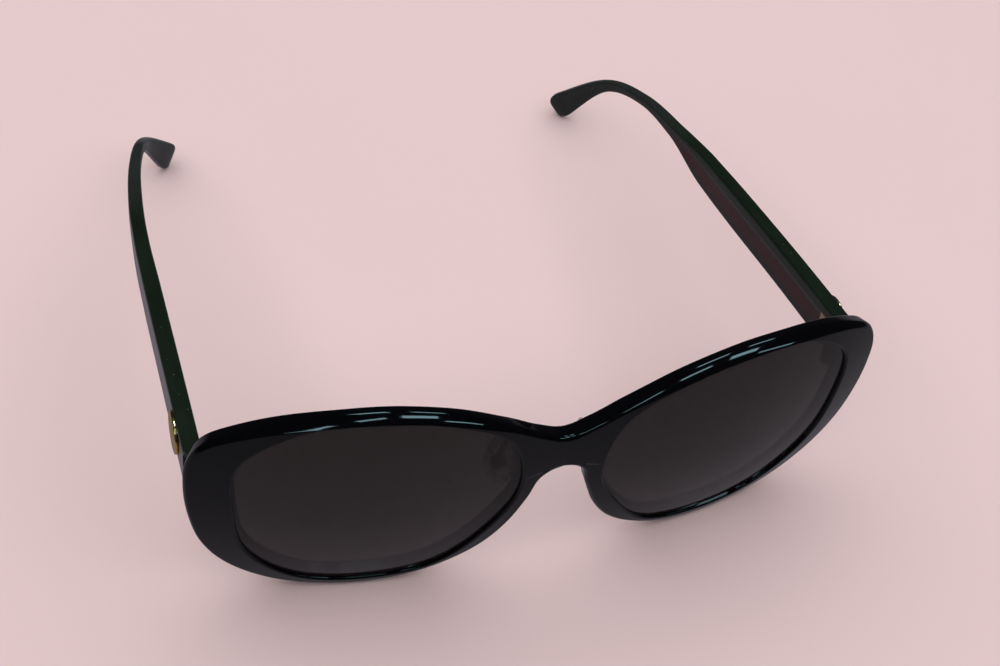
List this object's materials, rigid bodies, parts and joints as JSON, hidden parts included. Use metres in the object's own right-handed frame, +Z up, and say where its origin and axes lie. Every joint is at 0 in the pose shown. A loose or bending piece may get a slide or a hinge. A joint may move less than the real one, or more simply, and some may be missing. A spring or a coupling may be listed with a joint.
{
  "type": "cat eye sunglasses",
  "caption": "Cat-eye sunglasses with a glossy black acetate front, domed smoke lenses, laminated folding temples and silicone nose pads on wire arms.",
  "frame": {"origin": "centre of the bounding box in X and Y, on the table that the open pair lies on", "axes": "+Z up from the table, +X towards the wearer's left temple, -Y the way the lenses face, +Y back along the temples"},
  "size_m": [0.1436, 0.1326, 0.055],
  "materials": {
    "black_acetate": "polished gloss black acetate",
    "laminated_acetate": "polished laminated acetate: dark green over charcoal, dark red and charcoal",
    "smoke_lens": "brown-grey tint, darker at the top",
    "core_steel": "plain drawn wire",
    "hinge_bronze": "satin bronze tone",
    "gilt_metal": "polished gold tone",
    "pad_steel": "polished steel",
    "silicone": "clear satin silicone"
  },
  "bodies": {
    "front": {"front_frame": "black_acetate", "left_lens": "smoke_lens", "left_hinge_front_leaf": "hinge_bronze", "left_hinge_screw": "hinge_bronze", "left_pad_arm": "pad_steel", "right_lens": "smoke_lens", "right_hinge_front_leaf": "hinge_bronze", "right_hinge_screw": "hinge_bronze", "right_pad_arm": "pad_steel"},
    "left_temple": {"left_temple": "laminated_acetate", "left_hinge_temple_leaf": "hinge_bronze", "left_roundel": "gilt_metal", "left_core_wire": "core_steel"},
    "left_pad": {"left_nose_pad": "silicone", "left_pad_insert": "pad_steel", "left_pad_screw": "pad_steel"},
    "right_temple": {"right_temple": "laminated_acetate", "right_hinge_temple_leaf": "hinge_bronze", "right_roundel": "gilt_metal", "right_core_wire": "core_steel"},
    "right_pad": {"right_nose_pad": "silicone", "right_pad_insert": "pad_steel", "right_pad_screw": "pad_steel"}
  },
  "joints": [
    {"name": "left_temple_fold", "type": "hinge", "parent": "front", "child": "left_temple", "pos_m": [0.06538, -0.05117, 0.0349], "axis": [0, 0, 1], "range_deg": [0, 82]},
    {"name": "right_temple_fold", "type": "hinge", "parent": "front", "child": "right_temple", "pos_m": [-0.06538, -0.05117, 0.0349], "axis": [0, 0, -1], "range_deg": [0, 74]},
    {"name": "left_pad_rock", "type": "hinge", "parent": "front", "child": "left_pad", "pos_m": [0.00993, -0.05668, 0.02577], "axis": [0.4695, 0.8829, 0], "range_deg": [-6, 6]},
    {"name": "right_pad_rock", "type": "hinge", "parent": "front", "child": "right_pad", "pos_m": [-0.00993, -0.05668, 0.02577], "axis": [-0.4695, 0.8829, 0], "range_deg": [-6, 6]}
  ]
}
